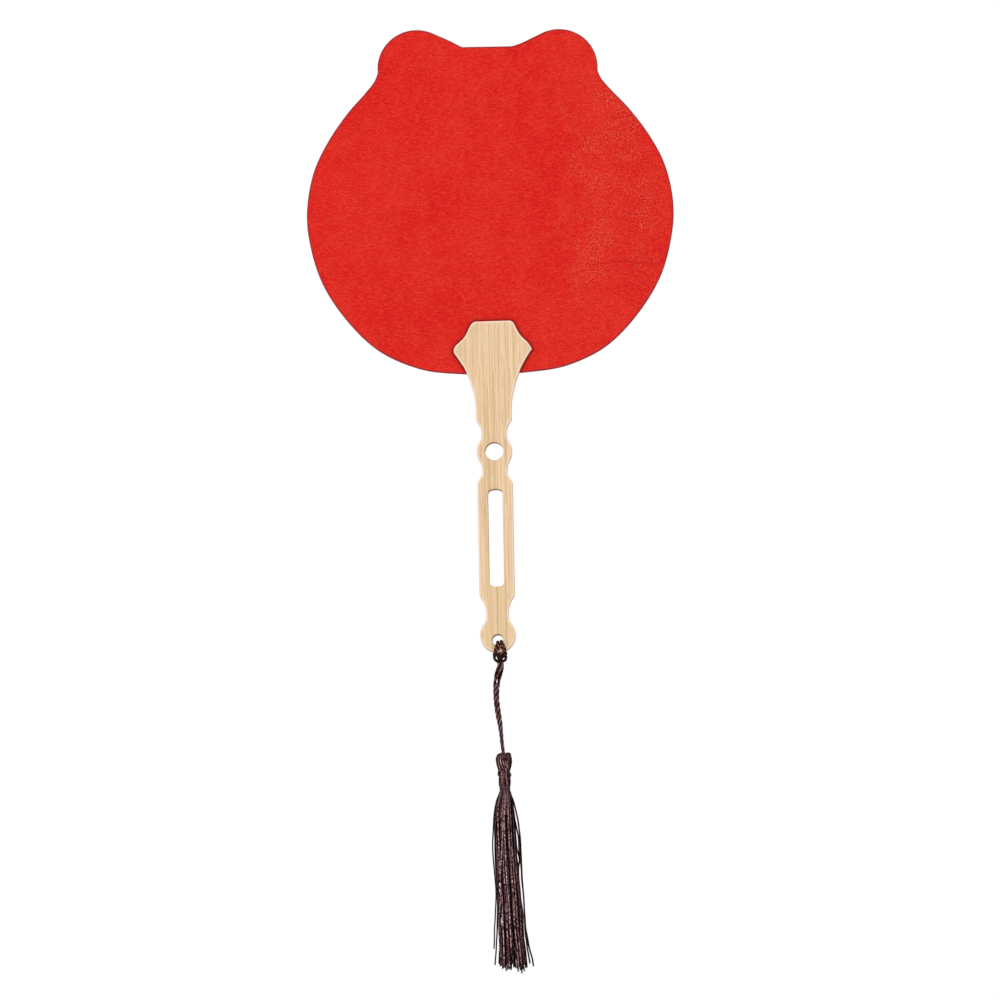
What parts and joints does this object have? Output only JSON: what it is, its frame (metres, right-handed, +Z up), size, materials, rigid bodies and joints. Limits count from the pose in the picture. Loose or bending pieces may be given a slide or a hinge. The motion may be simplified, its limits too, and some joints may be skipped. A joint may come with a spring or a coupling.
{
  "type": "hand fan",
  "caption": "Rigid cat-head hand fan: paper-faced card leaf in a slotted bamboo handle with a hitched cord and silk tassel.",
  "frame": {"origin": "centre of the grip: the middle of the handle's long window, in the middle of the board", "axes": "+Z up the handle to the leaf, -Y out of the front face, +X to the right seen from the front"},
  "size_m": [0.2188, 0.0216, 0.5686],
  "materials": {
    "bamboo": "sanded laminated bamboo, clear satin",
    "card": "raw grey card",
    "red_paper": "matt fibrous paper with fine gold fleck",
    "edge_strip": "thin matt maroon strip",
    "twine": "twisted dark cord, slight sheen",
    "tassel_silk": "loose dark silk thread, sheen along the thread"
  },
  "bodies": {
    "fan": {"handle": "bamboo", "leaf_core_board": "card", "leaf_front_paper": "red_paper", "leaf_back_paper": "red_paper", "leaf_edge_strip": "edge_strip"},
    "loop": {"hanging_loop": "twine"},
    "cord": {"tassel_cord": "twine"},
    "tassel_head": {"tassel_crown": "tassel_silk", "crown_binding": "twine", "tassel_neck": "tassel_silk", "neck_binding": "twine"},
    "skirt": {"tassel_skirt": "tassel_silk"}
  },
  "joints": [
    {"name": "loop_swing", "type": "hinge", "parent": "fan", "child": "loop", "pos_m": [0, 0, -0.0615], "axis": [0, 1, 0], "range_deg": [-35, 35]},
    {"name": "cord_fold", "type": "hinge", "parent": "loop", "child": "cord", "pos_m": [0.001, -0.0003, -0.0782], "axis": [1, 0, 0], "range_deg": [-85, 85]},
    {"name": "tassel_sway", "type": "hinge", "parent": "cord", "child": "tassel_head", "pos_m": [0.00175, 0, -0.1274], "axis": [0, 1, 0], "range_deg": [-60, 60]},
    {"name": "skirt_flex", "type": "hinge", "parent": "tassel_head", "child": "skirt", "pos_m": [0.00249, 0, -0.15539], "axis": [1, 0, 0], "range_deg": [-30, 30]}
  ]
}
